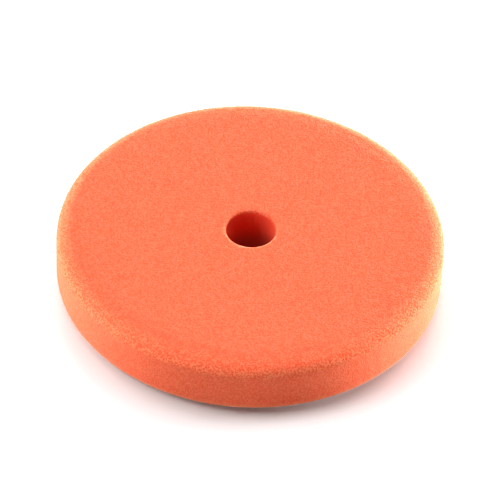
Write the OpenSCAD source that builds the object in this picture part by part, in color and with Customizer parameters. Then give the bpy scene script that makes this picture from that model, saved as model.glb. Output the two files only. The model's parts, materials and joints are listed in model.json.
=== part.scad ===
// Foam polishing pad with a hook-and-loop back, for a machine polisher.
// Lying on its back, working face up: the loops rest on Z = 0 and the pad's axis is the Z axis.

/* [Foam disc] */
// Diameter of the foam disc
pad_d = 155; // [130:1:180]
// Thickness of the foam alone
foam_t = 23; // [18:0.5:30]
// Radius ground on the rim of the working face
face_edge_r = 6; // [3:0.5:9]
// Radius of the rim at the back of the foam
back_edge_r = 2.5; // [1:0.5:4]

/* [Centre hole] */
// Diameter of the hole punched through every layer
hole_d = 20; // [16:0.5:24]
// Softened lip of the hole at the working face
hole_lip_r = 0.6; // [0.4:0.1:1]

/* [Backing] */
// Diameter of the backing cloth
backing_d = 148; // [118:1:172]
// Thickness of the knitted ground cloth
cloth_t = 0.5; // [0.4:0.1:1]
// Height of the loops above the ground cloth
pile_t = 1.2; // [1:0.1:2]
// Width of the heat-cut rim where the loops are melted away
melted_rim = 0.6; // [0.3:0.1:1.5]

/* [Adhesive] */
// Thickness of the hot-melt film between foam and cloth
film_t = 0.3; // [0.2:0.05:0.5]
// How far the film stops short of the cloth's rim
film_inset = 0.4; // [0:0.1:1]

/* [Hidden] */
$fn = 96;
pad_r = pad_d / 2;
hole_r = hole_d / 2;
backing_r = backing_d / 2;
cloth_z = pile_t;
film_z = cloth_z + cloth_t;
foam_z = film_z + film_t;

// A flat ring round the axis, from the hole's wall out to outer_r.
module layer_ring(outer_r, height) {
    rotate_extrude()
        translate([hole_r, 0])
            square([outer_r - hole_r, height]);
}

// Half section of the foam, with straight sides between its rounded rims.
module foam_section() {
    face_round = [pad_r - face_edge_r, foam_t - face_edge_r];
    back_round = [pad_r - back_edge_r, back_edge_r];
    lip_round = [hole_r + hole_lip_r, foam_t - hole_lip_r];

    // core between the lip of the hole and the start of the face rim
    translate([lip_round.x, 0])
        square([face_round.x - lip_round.x, foam_t]);
    // wall of the hole below its lip
    translate([hole_r, 0])
        square([hole_lip_r, lip_round.y]);
    // straight outer wall between the two rims
    translate([face_round.x, back_edge_r])
        square([face_edge_r, face_round.y - back_edge_r]);
    // flat back under the wall, inside the back rim
    translate([face_round.x, 0])
        square([back_round.x - face_round.x, back_edge_r]);
    translate(face_round)
        circle(r = face_edge_r);
    translate(back_round)
        circle(r = back_edge_r);
    translate(lip_round)
        circle(r = hole_lip_r);
}

module foam_disc() {
    color("coral")
        translate([0, 0, foam_z])
            rotate_extrude()
                foam_section();
}

module adhesive_film() {
    color("wheat")
        translate([0, 0, film_z])
            layer_ring(backing_r - film_inset, film_t);
}

module backing_cloth() {
    color("whitesmoke")
        translate([0, 0, cloth_z])
            layer_ring(backing_r, cloth_t);
}

module loop_pile() {
    color("white")
        layer_ring(backing_r - melted_rim, pile_t);
}

foam_disc();
adhesive_film();
backing_cloth();
loop_pile();
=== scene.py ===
"""A foam polishing pad with a hook-and-loop back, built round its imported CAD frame."""

import json
import math
import random

import bmesh
import bpy
from mathutils import Euler, Matrix, Vector, noise


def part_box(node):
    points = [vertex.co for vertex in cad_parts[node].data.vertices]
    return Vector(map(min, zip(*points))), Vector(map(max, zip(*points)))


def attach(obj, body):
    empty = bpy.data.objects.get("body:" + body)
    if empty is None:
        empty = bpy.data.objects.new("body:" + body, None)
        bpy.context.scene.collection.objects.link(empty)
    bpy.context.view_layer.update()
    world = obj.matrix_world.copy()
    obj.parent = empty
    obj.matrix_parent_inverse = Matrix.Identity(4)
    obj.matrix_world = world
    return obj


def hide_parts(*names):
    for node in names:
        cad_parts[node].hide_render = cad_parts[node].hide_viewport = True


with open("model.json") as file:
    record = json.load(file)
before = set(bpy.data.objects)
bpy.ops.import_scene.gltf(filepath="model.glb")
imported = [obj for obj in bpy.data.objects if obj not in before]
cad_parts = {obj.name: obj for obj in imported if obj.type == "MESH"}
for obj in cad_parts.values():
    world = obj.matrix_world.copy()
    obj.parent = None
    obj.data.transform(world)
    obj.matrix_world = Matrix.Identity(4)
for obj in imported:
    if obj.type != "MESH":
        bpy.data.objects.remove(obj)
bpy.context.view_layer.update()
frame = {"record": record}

MM = 0.001
SEED = 11

# Sizes of the pad, read from the frame
foam_low, foam_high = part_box("foam_disc")
film_low, film_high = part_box("adhesive_film")
cloth_low, cloth_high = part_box("backing_cloth")
pile_low, pile_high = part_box("loop_pile")
HOLE_R = next(m for m in frame["record"]["mounts"] if m["name"] == "centre_hole")["dims"]["r_mm"] * MM
PAD_R = foam_high.x
FACE_Z = foam_high.z
BACK_Z = foam_low.z

# Rims of the foam
FACE_EDGE_R = 6.0 * MM
BACK_EDGE_R = 2.5 * MM
HOLE_LIP_R = 1.1 * MM

# Surface of the foam
CELL = 0.7 * MM
GRAIN = 0.68 * MM
FOAM_VOXEL = 0.78 * MM
FACE_CLUMP = 3.1 * MM
FACE_TUFT = 1.5 * MM
TORN_CELL = 1.15 * MM
TORN_RAG = 0.8 * MM
TORN_CLUMP = 2.4 * MM

# Depths of the surface: all of it below the exact form, and the face beside its ground rim
SUNK = 0.05 * MM
WORN = 0.2 * MM

# Colours of the foam, with painted shade and painted light among them
# Painted shade: the pits of the grain are darker and redder than the cell walls
SHADED_CELL_PIT = (0.69, 0.083, 0.032, 1)
CELL_WALL = (0.83, 0.175, 0.086, 1)
# Partly the torn cells' own paler colour, partly painted light that the ground rim catches
LIT_GROUND_WALL = (0.98, 0.190, 0.082, 1)
# Painted shade in the torn pits of the ground rim
SHADED_GROUND_PIT = (0.90, 0.074, 0.018, 1)
# Painted shade where the cells sink into the surface
SHADED_OPEN_PIT = (0.90, 0.105, 0.034, 1)
CLOUDED = (0.74, 0.118, 0.050, 1)
# Painted highlights on the raised torn cells
GLINT = (0.98, 0.290, 0.15, 1)
# Painted light on the frayed tips low on the ground rim
FRAYED_TIP_LIGHT = (1.0, 0.270, 0.125, 1)
# Painted red glow at the mouth of the hole, and painted shade deep inside it
HOLE_MOUTH_GLOW = (0.95, 0.088, 0.040, 1)
HOLE_DEPTH_SHADE = (0.40, 0.048, 0.026, 1)
# Painted light from the floor along the back rim
FLOOR_LIT_RIM = (0.76, 0.180, 0.082, 1)

# Loops on the back
YARN = 0.22 * MM
LOOP_WIDTH = 1.3 * MM
LOOP_SPACING = 2.1 * MM
MAT_TOP = pile_high.z
MAT_LOW = pile_low.z + 0.6 * MM
LOOP_FEET = MAT_TOP - 0.2 * MM

# Studio: distances in metres, angles in degrees
LIGHT_AWAY = 1.3
CAMERA_AWAY = 1.3
CAMERA_UP = 43.96
CAMERA_ROLL = 2.70
AIM_HEIGHT = 13.2 * MM


# ---------------------------------------------------------------- small helpers


def smooth(low, high, value):
    """0 at low, 1 at high and beyond, and an S-shaped slope between them; low may be the larger."""
    t = min(1.0, max(0.0, (value - low) / (high - low)))
    return t * t * (3.0 - 2.0 * t)


def radius_of(point):
    """Distance from the pad's axis."""
    return math.hypot(point.x, point.y)


def finished(bm, name, material):
    """Makes a bmesh into a piece that rides on the pad."""
    mesh = bpy.data.meshes.new(name)
    bm.to_mesh(mesh)
    bm.free()
    mesh.shade_smooth()
    mesh.materials.append(material)
    piece = bpy.data.objects.new(name, mesh)
    bpy.context.scene.collection.objects.link(piece)
    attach(piece, "root")
    return piece


def turned(outline, steps):
    """Spins a closed outline of (radius, height) points round the pad's axis into a closed ring."""
    bm = bmesh.new()
    verts = [bm.verts.new((r, 0.0, z)) for r, z in outline]
    edges = [bm.edges.new((a, b)) for a, b in zip(verts, verts[1:] + verts[:1])]
    bmesh.ops.spin(bm, geom=verts + edges, cent=(0, 0, 0), axis=(0, 0, 1), angle=math.tau,
                   steps=steps, use_merge=True, use_normal_flip=False, use_duplicate=False)
    bmesh.ops.remove_doubles(bm, verts=bm.verts, dist=0.001 * MM)
    bmesh.ops.recalc_face_normals(bm, faces=bm.faces)
    return bm


def arc(centre, radius, start, end, points):
    """Points along an arc of a section, its angles in degrees from the outward direction."""
    step = (end - start) / (points - 1)
    angles = [math.radians(start + step * i) for i in range(points)]
    return [(centre[0] + radius * math.cos(a), centre[1] + radius * math.sin(a)) for a in angles]


# ---------------------------------------------------------------- node helpers


class Nodes:
    """Adds and links shader nodes of one material."""

    def __init__(self, material):
        self.tree = material.node_tree
        self.tree.nodes.clear()

    def add(self, kind, values=None, **settings):
        node = self.tree.nodes.new(kind)
        for name, value in settings.items():
            setattr(node, name, value)
        for name, value in (values or {}).items():
            if isinstance(value, bpy.types.NodeSocket):
                self.tree.links.new(value, node.inputs[name])
            else:
                node.inputs[name].default_value = value
        return node

    def math(self, operation, a, b=0.0, clamp=False):
        node = self.add("ShaderNodeMath", {0: a, 1: b}, operation=operation, use_clamp=clamp)
        return node.outputs[0]

    def remap(self, value, low, high, to_low=0.0, to_high=1.0):
        names = {"Value": value, "From Min": low, "From Max": high,
                 "To Min": to_low, "To Max": to_high}
        return self.add("ShaderNodeMapRange", names, interpolation_type="SMOOTHSTEP").outputs[0]

    def mix(self, factor, a, b, blend="MIX"):
        node = self.add("ShaderNodeMix", data_type="RGBA", blend_type=blend)
        for index, value in ((0, factor), (6, a), (7, b)):
            if isinstance(value, bpy.types.NodeSocket):
                self.tree.links.new(value, node.inputs[index])
            else:
                node.inputs[index].default_value = value
        return node.outputs[2]

    def tint(self, colour, share, most, towards):
        """Leans a colour towards another, by up to most of the given share."""
        return self.mix(self.math("MULTIPLY", share, most), colour, towards)

    def painted(self, name):
        """A value that the mesh carries at its points."""
        return self.add("ShaderNodeAttribute", attribute_name=name).outputs["Fac"]

    def place(self):
        """Where a point lies on its own piece."""
        return self.add("ShaderNodeTexCoord").outputs["Object"]

    def noise(self, place, size, detail, roughness=0.5):
        """Soft noise with bumps of about the given size."""
        names = {"Vector": place, "Scale": 1 / size, "Detail": detail, "Roughness": roughness}
        return self.add("ShaderNodeTexNoise", names).outputs["Fac"]

    def output(self, shader):
        self.add("ShaderNodeOutputMaterial", {"Surface": shader})


def new_material(name):
    material = bpy.data.materials.new(name)
    material.use_nodes = True
    return material, Nodes(material)


# ---------------------------------------------------------------- materials


def foam_colour(n, place, height):
    """Saturated pits of painted shade between paler cell walls; a ground rim lighter partly from
    painted light; painted highlights on its torn cells and frayed tips; painted glow and shade down
    the hole; painted floor light along the back rim.
    """
    torn = n.painted("torn")
    hole_glow_and_shade = n.painted("hole_glow_and_shade")
    cloud = n.noise(place, 9 * MM, 3.0)
    # the grain, with painted shade in its pits and paler cell walls
    colour = n.mix(height, SHADED_CELL_PIT, CELL_WALL)
    # ground rim lighter: partly its torn cells, partly painted light
    colour = n.tint(colour, torn, 0.42, LIT_GROUND_WALL)
    # painted shade in the torn pits, where the bump height is low
    deep = n.math("MULTIPLY", n.remap(height, 0.6, 0.1), torn)
    colour = n.tint(colour, deep, 0.45, SHADED_GROUND_PIT)
    # painted shade where the mesh relief sinks in
    colour = n.tint(colour, n.painted("pit_shade"), 0.5, SHADED_OPEN_PIT)
    colour = n.mix(n.remap(cloud, 0.35, 0.65, 0.0, 0.10), colour, CLOUDED)
    # painted highlights on the raised torn cells
    glint = n.math("MULTIPLY", n.remap(height, 0.5, 0.9), torn)
    colour = n.tint(colour, glint, 0.45, GLINT)
    # painted light on the frayed tips
    tips = n.math("MULTIPLY", n.remap(height, 0.35, 0.75), n.painted("fray_light"))
    colour = n.tint(colour, tips, 0.72, FRAYED_TIP_LIGHT)
    # painted red glow at the hole's mouth, painted shade deeper in
    colour = n.mix(n.remap(hole_glow_and_shade, 0.0, 0.5), colour, HOLE_MOUTH_GLOW)
    colour = n.mix(n.remap(hole_glow_and_shade, 0.5, 1.0), colour, HOLE_DEPTH_SHADE)
    # painted floor light along the back rim
    return n.tint(colour, n.painted("floor_glow"), 0.85, FLOOR_LIT_RIM)


def raised_facing(n):
    """The way the surface faces, leaning up where torn cell walls stand on the ground rim."""
    facing = n.add("ShaderNodeNewGeometry").outputs["Normal"]
    lean = n.math("MULTIPLY", n.painted("torn"), 0.55)
    lift = n.add("ShaderNodeCombineXYZ", {"Z": lean}).outputs[0]
    raised = n.add("ShaderNodeVectorMath", {0: facing, 1: lift}, operation="ADD").outputs[0]
    return n.add("ShaderNodeVectorMath", {0: raised}, operation="NORMALIZE").outputs[0]


def foam_material():
    """Orange open-cell foam that light sinks into, with a fine relief of cells."""
    material, n = new_material("orange_foam")
    place = n.place()
    voronoi = n.add("ShaderNodeTexVoronoi", {"Vector": place, "Scale": 1 / CELL}, feature="F1")
    speck = n.remap(n.noise(place, GRAIN, 0.5, 0.6), 0.34, 0.66)
    wall = n.remap(voronoi.outputs["Distance"], 0.15, 0.75)
    height = n.math("ADD", n.math("MULTIPLY", speck, 0.65), n.math("MULTIPLY", wall, 0.35))
    bump = n.add("ShaderNodeBump", {"Height": height, "Strength": 1.0, "Distance": 0.09 * MM,
                                    "Normal": raised_facing(n)})
    rough = n.remap(height, 0.0, 1.0, 0.96, 0.82)
    shader = n.add("ShaderNodeBsdfPrincipled", {
        "Base Color": foam_colour(n, place, height), "Roughness": rough, "Normal": bump.outputs[0],
        "Specular IOR Level": 0.06, "Sheen Weight": 0.08, "Sheen Roughness": 0.5,
        "Sheen Tint": (1.0, 0.70, 0.40, 1.0),
        "Subsurface Weight": 0.8, "Subsurface Scale": 3.0 * MM,
        "Subsurface Radius": (1.0, 0.40, 0.28)})
    n.output(shader.outputs[0])
    return material


def yarn_material():
    """Off-white brushed nylon yarn."""
    material, n = new_material("loop_yarn")
    place = n.place()
    fibre = n.noise(place, 0.25 * MM, 3.0, 0.7)
    shade = n.noise(place, 6 * MM, 2.0)
    colour = n.mix(n.remap(fibre, 0.3, 0.7), (0.62, 0.61, 0.58, 1), (0.83, 0.82, 0.80, 1))
    colour = n.mix(n.remap(shade, 0.35, 0.7, 0.0, 0.25), colour, (0.70, 0.68, 0.64, 1))
    bump = n.add("ShaderNodeBump", {"Height": fibre, "Strength": 0.8, "Distance": 0.03 * MM})
    shader = n.add("ShaderNodeBsdfPrincipled", {
        "Base Color": colour, "Roughness": n.remap(fibre, 0.2, 0.8, 0.75, 0.55),
        "Normal": bump.outputs[0],
        "Sheen Weight": 0.5, "Sheen Roughness": 0.4})
    n.output(shader.outputs[0])
    return material


def knit_rows(n, place, along, pitch, waver):
    """Wavering rows of stitches across one axis."""
    names = {"Vector": place, "Scale": 1 / (20 * pitch), "Distortion": waver,
             "Detail": 1.0, "Detail Scale": 2.0}
    return n.add("ShaderNodeTexWave", names, bands_direction=along).outputs["Fac"]


def cloth_material():
    """Off-white knitted ground cloth, with wales along Y and courses along X."""
    material, n = new_material("knit_cloth")
    place = n.place()
    wales = knit_rows(n, place, "X", 0.9 * MM, 0.6)
    courses = knit_rows(n, place, "Y", 0.6 * MM, 0.8)
    fuzz = n.noise(place, 0.2 * MM, 2.0)
    knit = n.math("MULTIPLY", wales, courses)
    colour = n.mix(n.remap(knit, 0.0, 0.8), (0.50, 0.49, 0.47, 1), (0.76, 0.75, 0.73, 1))
    colour = n.mix(n.remap(fuzz, 0.4, 0.7, 0.0, 0.3), colour, (0.84, 0.83, 0.81, 1))
    bump = n.add("ShaderNodeBump", {"Height": knit, "Strength": 0.9, "Distance": 0.06 * MM})
    shader = n.add("ShaderNodeBsdfPrincipled", {
        "Base Color": colour, "Roughness": n.remap(knit, 0.0, 1.0, 0.9, 0.7),
        "Normal": bump.outputs[0],
        "Sheen Weight": 0.3, "Sheen Roughness": 0.5})
    n.output(shader.outputs[0])
    return material


def glue_material():
    """Cloudy amber hot-melt film."""
    material, n = new_material("hot_melt")
    cloud = n.noise(n.place(), 2.5 * MM, 4.0)
    colour = n.mix(n.remap(cloud, 0.3, 0.7), (0.70, 0.60, 0.40, 1), (0.85, 0.79, 0.64, 1))
    bump = n.add("ShaderNodeBump", {"Height": cloud, "Strength": 0.5, "Distance": 0.05 * MM})
    shader = n.add("ShaderNodeBsdfPrincipled", {
        "Base Color": colour, "Roughness": n.remap(cloud, 0.3, 0.7, 0.30, 0.5),
        "Normal": bump.outputs[0],
        "Subsurface Weight": 0.3, "Subsurface Scale": 0.5 * MM})
    n.output(shader.outputs[0])
    return material


def floor_material():
    """Plain matt white."""
    material, n = new_material("pale_floor")
    shader = n.add("ShaderNodeBsdfPrincipled", {
        "Base Color": (0.84, 0.84, 0.84, 1), "Roughness": 0.9, "Specular IOR Level": 0.1})
    n.output(shader.outputs[0])
    return material


# ---------------------------------------------------------------- foam


def foam_outline():
    """Half section of the foam: the lip of the hole, the ground face rim and the back rim."""
    lip = arc((HOLE_R + HOLE_LIP_R, FACE_Z - HOLE_LIP_R), HOLE_LIP_R, 180, 90, 7)
    face_rim = arc((PAD_R - FACE_EDGE_R, FACE_Z - FACE_EDGE_R), FACE_EDGE_R, 90, 0, 16)
    back_rim = arc((PAD_R - BACK_EDGE_R, BACK_Z + BACK_EDGE_R), BACK_EDGE_R, 0, -90, 9)
    return [(HOLE_R, BACK_Z)] + lip + face_rim + back_rim


def loose_form(bm, name):
    """A working object that is taken away again once its shape has been read."""
    mesh = bpy.data.meshes.new(name)
    bm.to_mesh(mesh)
    bm.free()
    form = bpy.data.objects.new(name, mesh)
    bpy.context.scene.collection.objects.link(form)
    return form


def shaped(form):
    """The form's mesh with its modifiers applied, as a bmesh."""
    depsgraph = bpy.context.evaluated_depsgraph_get()
    mesh = bpy.data.meshes.new_from_object(form.evaluated_get(depsgraph))
    bm = bmesh.new()
    bm.from_mesh(mesh)
    bpy.data.meshes.remove(mesh)
    return bm


def take_away(form):
    """Removes a working object and its mesh."""
    mesh = form.data
    bpy.data.objects.remove(form)
    bpy.data.meshes.remove(mesh)


def evenly_meshed(bm, voxel):
    """The same closed form with small faces of one even size."""
    form = loose_form(bm, "even")
    remesh = form.modifiers.new("even", "REMESH")
    remesh.mode = "VOXEL"
    remesh.voxel_size = voxel
    even = shaped(form)
    take_away(form)
    return even


def laid_on(bm, exact):
    """Brings every point back onto the exact round surface."""
    target = loose_form(exact, "exact")
    form = loose_form(bm, "loose")
    wrap = form.modifiers.new("wrap", "SHRINKWRAP")
    wrap.target = target
    wrap.wrap_method = "NEAREST_SURFACEPOINT"
    laid = shaped(form)
    take_away(form)
    take_away(target)
    return laid


def thinned_where(bm, wanted, keep):
    """Merges small faces into larger ones, but only where wanted(point) is true."""
    form = loose_form(bm, "thin")
    chosen = [v.index for v in form.data.vertices if wanted(v.co)]
    group = form.vertex_groups.new(name="chosen")
    group.add(chosen, 1.0, "REPLACE")
    share = len(chosen) / len(form.data.vertices)
    thin = form.modifiers.new("thin", "DECIMATE")
    thin.vertex_group = "chosen"
    thin.ratio = 1.0 - share * (1.0 - keep)
    bm = shaped(form)
    take_away(form)
    return bm


def under_foam(point):
    """True on the flat back, which the film covers."""
    return point.z < BACK_Z + 0.1 * MM and HOLE_R + 2 * MM < radius_of(point) < PAD_R - 5 * MM


def rim_turn(point):
    """Degrees round the ground rim: 0 where the flat face ends and 90 where the wall starts."""
    out = radius_of(point) - (PAD_R - FACE_EDGE_R)
    up = point.z - (FACE_Z - FACE_EDGE_R)
    return math.degrees(math.atan2(out, up))


def near_face_rim(point):
    """True on the ground rim and a little of the flat face beside it."""
    return radius_of(point) > PAD_R - 10 * MM and -22.0 < rim_turn(point) < 84.0


def torn_share(point):
    """How far the cells are torn open: fully on the ground rim, and not on the flat or the wall."""
    turn = rim_turn(point) + 8.0 * noise.noise(point / TORN_CLUMP)
    return smooth(-10.0, 30.0, turn) * (1.0 - smooth(68.0, 88.0, turn))


def fray_light_share(point):
    """Grows down the ground rim to the frayed tips of its last torn cells, where light is painted."""
    return smooth(38.0, 62.0, rim_turn(point) + 8.0 * noise.noise(point / (1.3 * MM)))


def hole_glow_and_shade_share(point):
    """Grows down the wall of the hole for its painted light and shade: 0 on its lip, 0.5 (painted red
    glow) just below the lip and 1 (painted shade) deep inside.
    """
    inside = smooth(HOLE_R + 1.0 * MM, HOLE_R + 0.2 * MM, radius_of(point))
    depth = FACE_Z - point.z
    below_lip = smooth(0.3 * MM, 2.0 * MM, depth)
    far_down = smooth(1.5 * MM, 22.0 * MM, depth)
    return inside * (0.5 * below_lip + 0.5 * far_down)


def floor_glow_share(point):
    """1 round the foam's rounded rim at the back, where paler painted light from the floor is laid."""
    out = smooth(HOLE_R + 4 * MM, PAD_R - 4 * MM, radius_of(point))
    return out * smooth(BACK_Z + 3.4 * MM, BACK_Z + 2.0 * MM, point.z)


def face_relief(point):
    """Height of the cut cells on the face and the walls."""
    clump = noise.noise(point / FACE_CLUMP)
    tuft = noise.noise(point / FACE_TUFT + Vector((3.0, 1.0, 4.0)))
    return (0.03 * clump + 0.05 * tuft) * MM


def worn_down(point):
    """Depth by which the face already falls a little before its ground rim starts."""
    share = smooth(PAD_R - 10.5 * MM, PAD_R - 5.0 * MM, radius_of(point))
    return WORN * share * (1.0 - smooth(20.0, 70.0, rim_turn(point)))


def torn_relief(point):
    """Height of the torn cells on the ground rim: pits between ragged walls."""
    nearest = noise.voronoi(point / TORN_CELL)[0]
    cells = min(1.0, nearest[1] - nearest[0])
    ragged = noise.noise(point / TORN_RAG)
    clump = noise.noise(point / TORN_CLUMP)
    return (0.20 * (0.40 - cells) + 0.15 * ragged + 0.02 * clump) * MM


def surface_height(point, torn):
    """How far the surface stands out of the exact form, from cut cells to torn ones."""
    height = face_relief(point) * (1.0 - torn)
    if torn > 0.0:
        height += torn_relief(point) * torn
    return height


def raise_cells(bm):
    """Moves the points out to the tops of the cells and paints each one for the foam's material."""
    names = ("torn", "fray_light", "pit_shade", "hole_glow_and_shade", "floor_glow")
    layers = {name: bm.verts.layers.float.new(name) for name in names}
    bm.normal_update()
    moves = []
    for vert in bm.verts:
        torn = torn_share(vert.co)
        out = surface_height(vert.co, torn)
        vert[layers["torn"]] = torn
        # mask for painted light on the frayed tips
        vert[layers["fray_light"]] = torn * fray_light_share(vert.co)
        # mask for painted shade where the surface sinks
        vert[layers["pit_shade"]] = smooth(0.02, -0.16, out / MM)
        # mask for painted glow and shade down the hole
        vert[layers["hole_glow_and_shade"]] = hole_glow_and_shade_share(vert.co)
        # mask for painted floor light along the back rim
        vert[layers["floor_glow"]] = floor_glow_share(vert.co)
        moves.append((vert, vert.normal * (out - SUNK - worn_down(vert.co))))
    for vert, move in moves:
        vert.co += move


def make_foam():
    """The foam disc, with small faces where its cells are torn and large ones where it is covered."""
    exact = turned(foam_outline(), 360)
    bm = evenly_meshed(exact.copy(), FOAM_VOXEL)
    bm = thinned_where(bm, under_foam, 0.05)
    rim = [e for e in bm.edges if all(near_face_rim(v.co) for v in e.verts)]
    bmesh.ops.subdivide_edges(bm, edges=rim, cuts=1, use_grid_fill=True)
    bmesh.ops.triangulate(bm, faces=[f for f in bm.faces if len(f.verts) > 4])
    bm = laid_on(bm, exact)
    raise_cells(bm)
    foam = finished(bm, "foam", foam_material())
    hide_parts("foam_disc")
    return foam


# ---------------------------------------------------------------- back


def roughened(bm, wanted, size, height):
    """Moves the points that wanted(point) picks in and out of the surface."""
    bm.normal_update()
    moves = [(v, v.normal * (noise.noise(v.co / size) * height)) for v in bm.verts if wanted(v.co)]
    for vert, move in moves:
        vert.co += move


def rounded_ring(inner, outer, low, high, steps, rings):
    """A flat ring with half-round rims and evenly spaced rings of faces between them."""
    half = (high - low) / 2
    middle = (low + high) / 2
    outside = arc((outer - half, middle), half, 90, -90, 7)
    inside = arc((inner + half, middle), half, 270, 90, 7)
    across = [inner + half + (outer - inner - 2 * half) * i / rings for i in range(1, rings)]
    upper = [(r, high) for r in across]
    lower = [(r, low) for r in reversed(across)]
    return turned(inside + upper + outside + lower, steps)


def at_film_rims(point):
    return radius_of(point) > film_high.x - 0.6 * MM or radius_of(point) < HOLE_R + 0.9 * MM


def at_cloth_rim(point):
    return radius_of(point) > cloth_high.x - 0.5 * MM


def below_cloth(point):
    return point.z < pile_high.z - 0.1 * MM


def make_film():
    """Hot-melt film, a little squeezed out at its rims."""
    bm = rounded_ring(HOLE_R + 0.3 * MM, film_high.x, film_low.z, film_high.z, 300, 6)
    roughened(bm, at_film_rims, 2.2 * MM, 0.25 * MM)
    film = finished(bm, "hot_melt", glue_material())
    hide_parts("adhesive_film")
    return film


def make_cloth():
    """Knitted ground cloth, with a melted bead along its heat-cut rim."""
    bm = rounded_ring(HOLE_R, cloth_high.x, cloth_low.z, cloth_high.z, 360, 20)
    roughened(bm, at_cloth_rim, 1.4 * MM, 0.22 * MM)
    cloth = finished(bm, "knit_cloth", cloth_material())
    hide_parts("backing_cloth")
    return cloth


def yarn_loop(width, height, thickness):
    """One arched loop of yarn, its feet at height 0 and its crown below them."""
    bm = bmesh.new()
    bmesh.ops.create_circle(bm, segments=3, radius=thickness / 2, cap_ends=False)
    bmesh.ops.rotate(bm, verts=bm.verts, cent=(0, 0, 0), matrix=Matrix.Rotation(math.pi / 2, 3, "Z"))
    bmesh.ops.translate(bm, verts=bm.verts, vec=(width / 2, 0, 0))
    bmesh.ops.spin(bm, geom=bm.verts[:] + bm.edges[:], cent=(0, 0, 0), axis=(0, 1, 0), angle=math.pi,
                   steps=6, use_merge=False, use_normal_flip=False, use_duplicate=False)
    bmesh.ops.holes_fill(bm, edges=bm.edges, sides=0)
    bmesh.ops.scale(bm, verts=bm.verts, vec=(1, 1, 2 * height / width))
    bmesh.ops.recalc_face_normals(bm, faces=bm.faces)
    mesh = bpy.data.meshes.new("loop")
    bm.to_mesh(mesh)
    bm.free()
    return mesh


def loop_spots():
    """Places for the loops in staggered rows, each a little off its place, turned and leaning."""
    chance = random.Random(SEED)
    count = int(pile_high.x / LOOP_SPACING)
    spots = []
    for row in range(-count, count + 1):
        for column in range(-count, count + 1):
            place = Vector(((column + 0.5 * (row % 2)) * LOOP_SPACING, row * LOOP_SPACING, LOOP_FEET))
            stray = Vector((chance.uniform(-0.5, 0.5), chance.uniform(-0.5, 0.5), 0.0))
            place += stray * 0.6 * LOOP_SPACING
            turn = chance.uniform(-50.0, 50.0)
            lean = chance.uniform(-30.0, 30.0)
            if not HOLE_R + 0.9 * MM < radius_of(place) < pile_high.x - 0.9 * MM:
                continue
            tilt = Euler((math.radians(lean), 0.0, math.radians(turn))).to_matrix().to_4x4()
            spots.append(Matrix.Translation(place) @ tilt)
    return spots


def make_pile():
    """Brushed yarn loops that stand out of a thin mat of fibres."""
    bm = rounded_ring(HOLE_R + 0.3 * MM, pile_high.x, MAT_LOW, MAT_TOP, 300, 40)
    roughened(bm, below_cloth, 1.6 * MM, 0.35 * MM)
    height = (LOOP_FEET - pile_low.z) * LOOP_WIDTH / (LOOP_WIDTH + YARN)
    loop = yarn_loop(LOOP_WIDTH, height, YARN)
    for spot in loop_spots():
        loop.transform(spot)
        bm.from_mesh(loop)
        loop.transform(spot.inverted())
    bpy.data.meshes.remove(loop)
    pile = finished(bm, "yarn_loops", yarn_material())
    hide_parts("loop_pile")
    return pile


# ---------------------------------------------------------------- studio


def make_floor():
    """A wide flat disc under the pad."""
    bm = bmesh.new()
    bmesh.ops.create_circle(bm, cap_ends=True, cap_tris=False, segments=96, radius=6.0)
    mesh = bpy.data.meshes.new("floor")
    bm.to_mesh(mesh)
    bm.free()
    mesh.materials.append(floor_material())
    floor = bpy.data.objects.new("floor", mesh)
    bpy.context.scene.collection.objects.link(floor)


def towards_light(azimuth, elevation):
    """Direction to a light: azimuth 0 is the camera's side, 90 the right and 180 the back."""
    a, e = math.radians(azimuth), math.radians(elevation)
    return Vector((math.sin(a) * math.cos(e), -math.cos(a) * math.cos(e), math.sin(e)))


def hang_light(name, data, azimuth, elevation):
    light = bpy.data.objects.new(name, data)
    bpy.context.scene.collection.objects.link(light)
    towards = towards_light(azimuth, elevation)
    light.location = towards * LIGHT_AWAY
    light.rotation_euler = towards.to_track_quat("Z", "Y").to_euler()
    light.visible_camera = False


def add_softbox(name, level, azimuth, elevation, width, height):
    """A lit rectangle that faces the pad; level is the light it brings to a surface turned to it."""
    data = bpy.data.lights.new(name, "AREA")
    data.shape = "RECTANGLE"
    data.size = width
    data.size_y = height
    data.energy = level * (math.pi * LIGHT_AWAY) ** 2
    hang_light(name, data, azimuth, elevation)


def add_overhead(name, level, azimuth, elevation, spread):
    """Light from a wide diffuser far away, its spread in degrees."""
    data = bpy.data.lights.new(name, "SUN")
    data.energy = level * math.pi
    data.angle = math.radians(spread)
    hang_light(name, data, azimuth, elevation)


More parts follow.
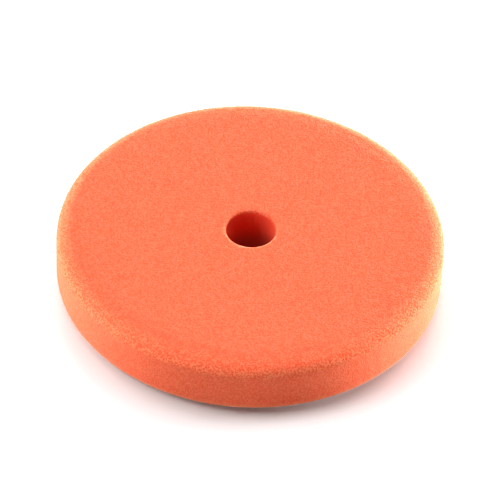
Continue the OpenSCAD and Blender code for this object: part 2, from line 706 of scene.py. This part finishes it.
def make_lights():
    """Low strips at the sides and back, wide diffusers above them, and little from the front."""
    add_softbox("right_strip", 3.25, 111, 3.2, 0.6, 0.12)
    add_softbox("right_back_strip", 1.25, 150, 2.7, 0.6, 0.1)
    add_softbox("back_strip", 1.05, 185, 2.7, 0.6, 0.1)
    add_softbox("left_back_strip", 1.35, 251, 2.7, 0.6, 0.1)
    add_softbox("left_front_box", 0.08, 300, 14, 0.45, 0.3)
    add_softbox("front_box", 0.11, 0, 14, 0.45, 0.3)
    add_overhead("back_diffuser", 0.32, 180, 45, 26)
    add_overhead("left_back_diffuser", 0.20, 225, 45, 26)
    add_overhead("left_diffuser", 0.50, 270, 40, 32)
    add_overhead("right_back_diffuser", 0.36, 135, 60, 36)
    add_overhead("high_left_diffuser", 0.12, 270, 60, 24)
    add_overhead("top_diffuser", 0.27, 200, 78, 20)


def make_world():
    """White where the camera sees past the floor, and dark to everything else."""
    world = bpy.data.worlds.new("studio")
    world.use_nodes = True
    tree = world.node_tree
    seen = tree.nodes.new("ShaderNodeLightPath").outputs["Is Camera Ray"]
    background = tree.nodes["Background"]
    background.inputs["Color"].default_value = (1.0, 1.0, 1.0, 1.0)
    tree.links.new(seen, background.inputs["Strength"])
    bpy.context.scene.world = world


def make_camera():
    """A long lens, looking down at the pad with a slight tilt of the horizon."""
    aim = Vector((0.0, 0.0, AIM_HEIGHT))
    elevation = math.radians(CAMERA_UP)
    data = bpy.data.cameras.new("camera")
    data.lens = 233.6
    data.sensor_width = 36.0
    data.clip_start = 0.05
    data.clip_end = 50.0
    camera = bpy.data.objects.new("camera", data)
    bpy.context.scene.collection.objects.link(camera)
    back = Vector((0.0, -math.cos(elevation), math.sin(elevation)))
    roll = Matrix.Rotation(math.radians(CAMERA_ROLL), 4, "Z")
    place = Matrix.Translation(aim + back * CAMERA_AWAY)
    camera.matrix_world = place @ back.to_track_quat("Z", "Y").to_matrix().to_4x4() @ roll
    bpy.context.scene.camera = camera
    bpy.context.scene.view_settings.view_transform = "Standard"


make_camera()
make_floor()
make_lights()
make_world()
make_foam()
make_film()
make_cloth()
make_pile()
